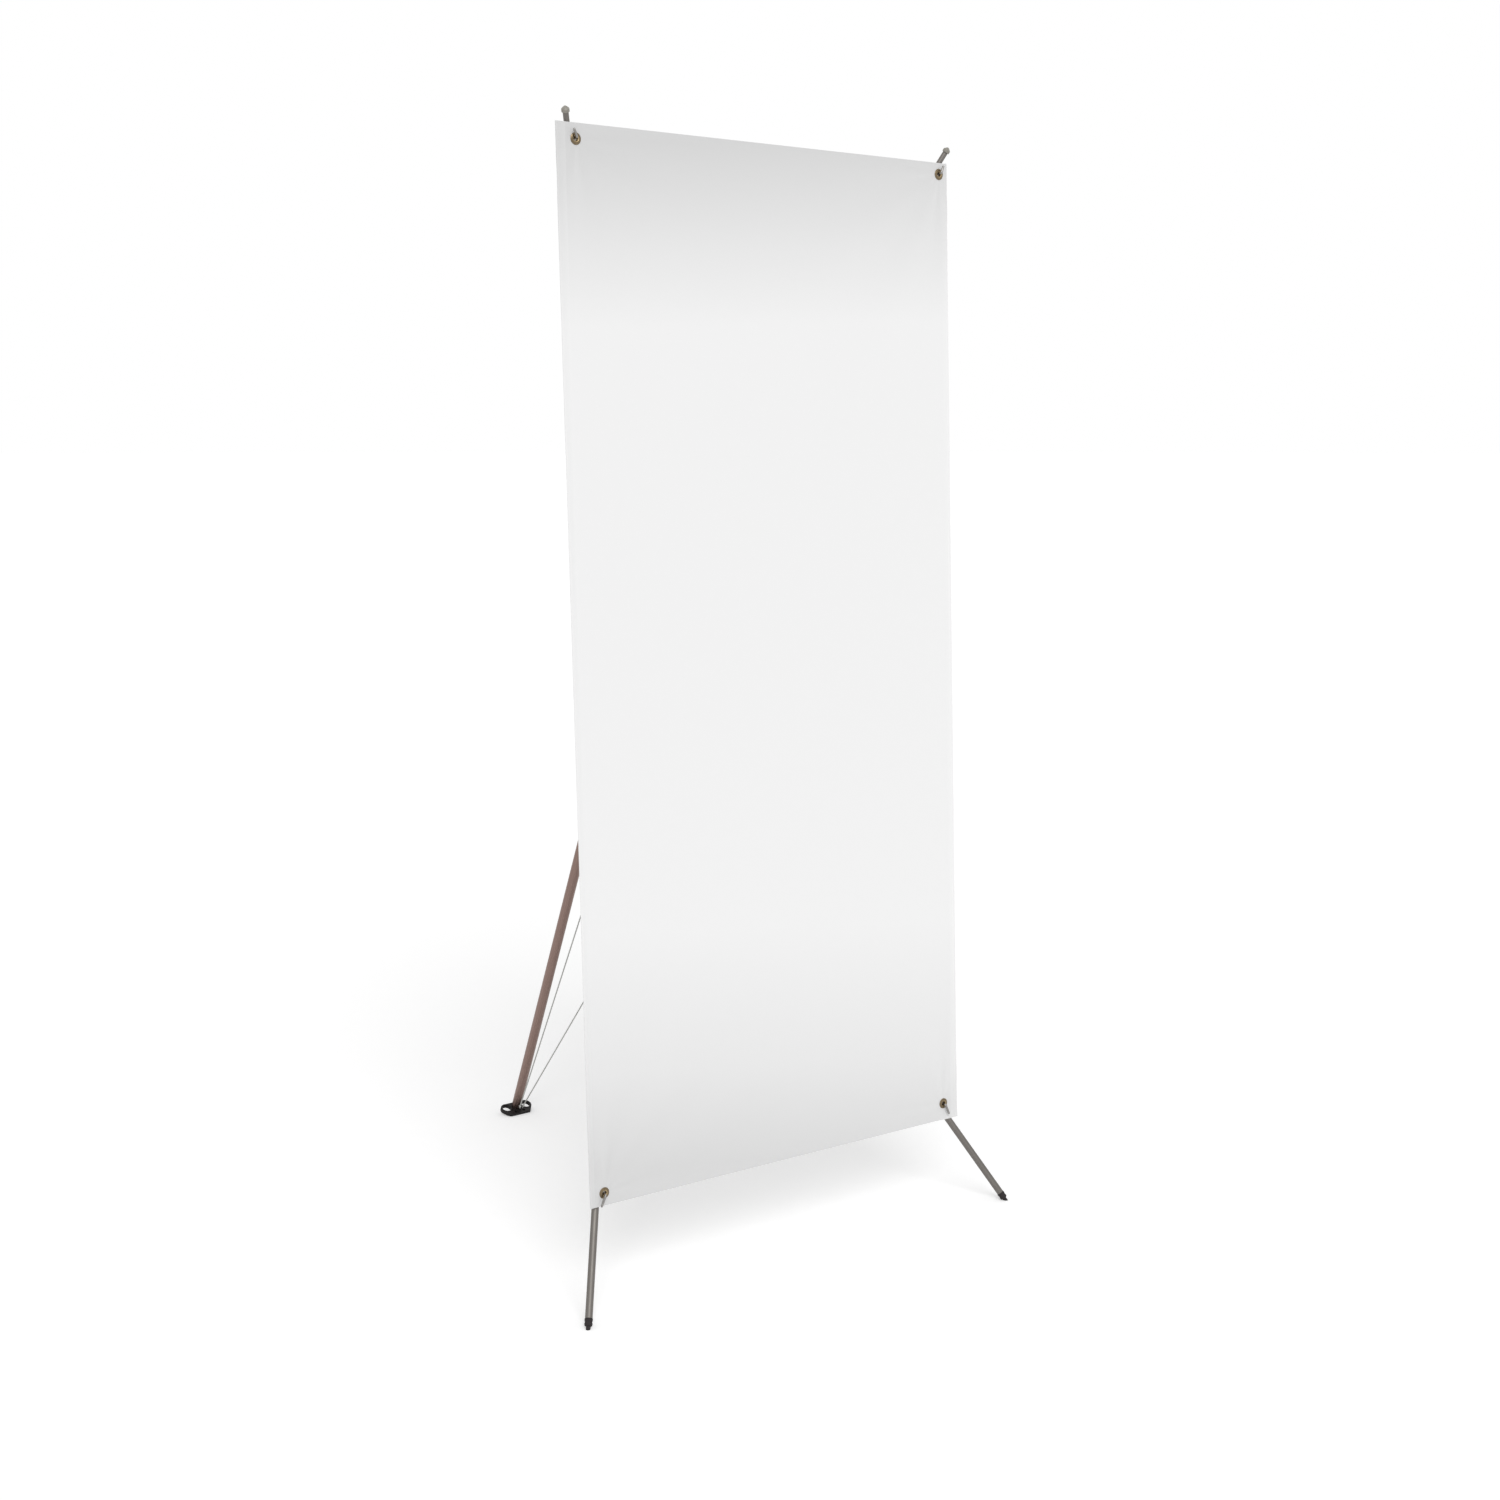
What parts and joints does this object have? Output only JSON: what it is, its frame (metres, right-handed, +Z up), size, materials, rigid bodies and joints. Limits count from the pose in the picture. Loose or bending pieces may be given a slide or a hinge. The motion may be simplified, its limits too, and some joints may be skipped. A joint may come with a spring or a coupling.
{
  "type": "tripod banner stand",
  "caption": "Free-standing tripod banner stand: a leaning mast and front legs meet at a hub, and hooks on the legs and upper arms hold the corner eyelets of a blank banner.",
  "frame": {"origin": "middle of the footprint on the floor, between the front feet and the rear foot", "axes": "+Z up, the banner faces -Y, +X to the right when the stand is seen from behind"},
  "size_m": [0.9614, 1.0368, 1.9652],
  "materials": {
    "satin_aluminium": "satin drawn tube",
    "mast_aluminium": "brown-grey anodised tube",
    "black_nylon": "moulded nylon",
    "grey_cap": "moulded grey cap",
    "black_rubber": "moulded rubber",
    "zinc_steel": "zinc plated",
    "brass": "aged brass",
    "cord": "braided light grey cord",
    "banner_vinyl": "matt coated banner cloth"
  },
  "bodies": {
    "frame": {"hub": "black_nylon", "mast": "mast_aluminium", "mast_bolt": "zinc_steel", "mast_nut": "zinc_steel", "rear_foot": "black_nylon", "rear_foot_screw": "zinc_steel", "arm_pivot_bolt_left": "zinc_steel", "arm_pivot_nut_left": "zinc_steel", "arm_pivot_bolt_right": "zinc_steel", "arm_pivot_nut_right": "zinc_steel", "leg_pivot_bolt_left": "zinc_steel", "leg_pivot_nut_left": "zinc_steel", "leg_pivot_bolt_right": "zinc_steel", "leg_pivot_nut_right": "zinc_steel", "stay_cord_left": "cord", "stay_cord_right": "cord"},
    "leg_left": {"leg_knuckle_left": "black_nylon", "leg_tube_left": "satin_aluminium", "leg_foot_left": "black_rubber", "leg_hook_clip_left": "black_nylon", "leg_hook_left": "zinc_steel", "cord_clip_left": "black_nylon"},
    "leg_right": {"leg_knuckle_right": "black_nylon", "leg_tube_right": "satin_aluminium", "leg_foot_right": "black_rubber", "leg_hook_clip_right": "black_nylon", "leg_hook_right": "zinc_steel", "cord_clip_right": "black_nylon"},
    "arm_left": {"arm_knuckle_left": "black_nylon", "arm_lower_rod_left": "satin_aluminium", "arm_upper_rod_left": "satin_aluminium", "arm_sleeve_left": "satin_aluminium", "arm_tip_cap_left": "grey_cap", "arm_hook_clip_left": "black_nylon", "arm_hook_left": "zinc_steel", "eyelet_upper_left": "brass"},
    "arm_right": {"arm_knuckle_right": "black_nylon", "arm_lower_rod_right": "satin_aluminium", "arm_upper_rod_right": "satin_aluminium", "arm_sleeve_right": "satin_aluminium", "arm_tip_cap_right": "grey_cap", "arm_hook_clip_right": "black_nylon", "arm_hook_right": "zinc_steel", "eyelet_upper_right": "brass"},
    "banner": {"banner": "banner_vinyl", "eyelet_lower_left": "brass", "eyelet_lower_right": "brass"}
  },
  "joints": [
    {"name": "leg_left_fold", "type": "hinge", "parent": "frame", "child": "leg_left", "pos_m": [-0.0144, 0.04318, 0.98142], "axis": [0.8911, -0.4148, -0.1841], "range_deg": [0, 55.5], "deforming": ["stay_cord_left", "banner", "eyelet_lower_left"]},
    {"name": "leg_right_fold", "type": "hinge", "parent": "frame", "child": "leg_right", "pos_m": [0.0144, 0.04318, 0.98142], "axis": [0.8911, 0.4148, 0.1841], "range_deg": [0, 55.5], "deforming": ["stay_cord_right", "banner", "eyelet_lower_right"]},
    {"name": "arm_left_fold", "type": "hinge", "parent": "frame", "child": "arm_left", "pos_m": [-0.01375, 0.04553, 1.04409], "axis": [-0.0512, 0.9129, 0.405], "range_deg": [0, 21], "deforming": ["banner", "eyelet_lower_left", "eyelet_lower_right"]},
    {"name": "arm_right_fold", "type": "hinge", "parent": "frame", "child": "arm_right", "pos_m": [0.01375, 0.04553, 1.04409], "axis": [-0.0512, -0.9129, -0.405], "range_deg": [0, 21], "deforming": ["banner", "eyelet_lower_left", "eyelet_lower_right"]},
    {"name": "banner_rise", "type": "slide", "parent": "frame", "child": "banner", "axis": [0, -0.1514, 0.9885], "range_m": [0, 0.0735], "deforming": ["banner", "eyelet_lower_left", "eyelet_lower_right"]}
  ],
  "couplings": [
    {"joint": "arm_right_fold", "follows": "arm_left_fold", "ratio": 1},
    {"joint": "banner_rise", "follows": "arm_left_fold", "m_per_rad": 0.2}
  ]
}
